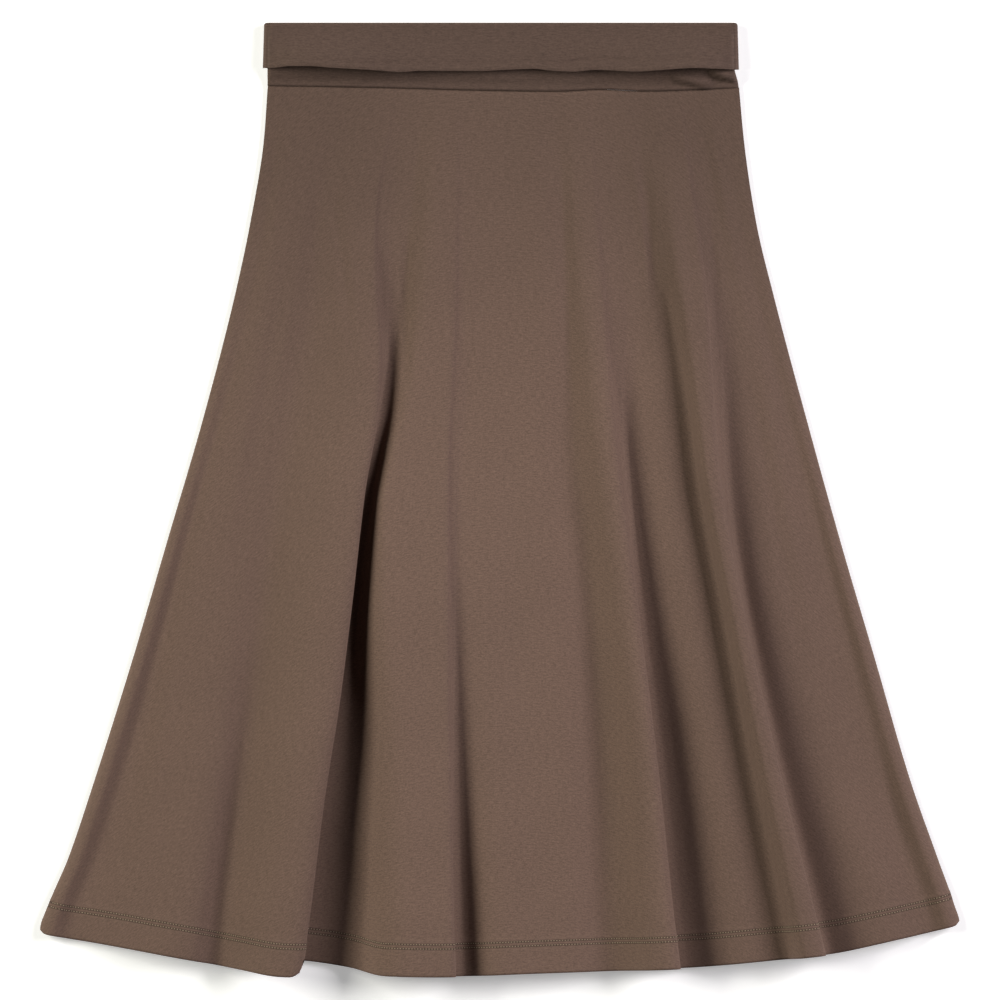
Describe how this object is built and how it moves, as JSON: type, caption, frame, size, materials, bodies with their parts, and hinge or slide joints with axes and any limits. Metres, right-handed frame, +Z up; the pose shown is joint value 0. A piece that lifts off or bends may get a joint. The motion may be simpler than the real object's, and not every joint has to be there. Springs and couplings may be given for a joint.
{
  "type": "flared skirt",
  "caption": "Woman's flared brown jersey skirt laid flat, with a fold-over waistband, soft lengthwise folds and a stitched hem.",
  "frame": {"origin": "centre of the skirt's bounding rectangle on the table it lies on", "axes": "+X across the skirt, to the right as seen from above; +Y along it, from hem to waist; +Z up, out of the front"},
  "size_m": [0.654, 0.6809, 0.0351],
  "materials": {
    "panel_jersey": "matte jersey knit",
    "band_jersey": "matte jersey knit, doubled"
  },
  "bodies": {
    "root": {"skirt_front": "panel_jersey", "skirt_back": "panel_jersey", "waistband": "band_jersey"}
  },
  "joints": []
}
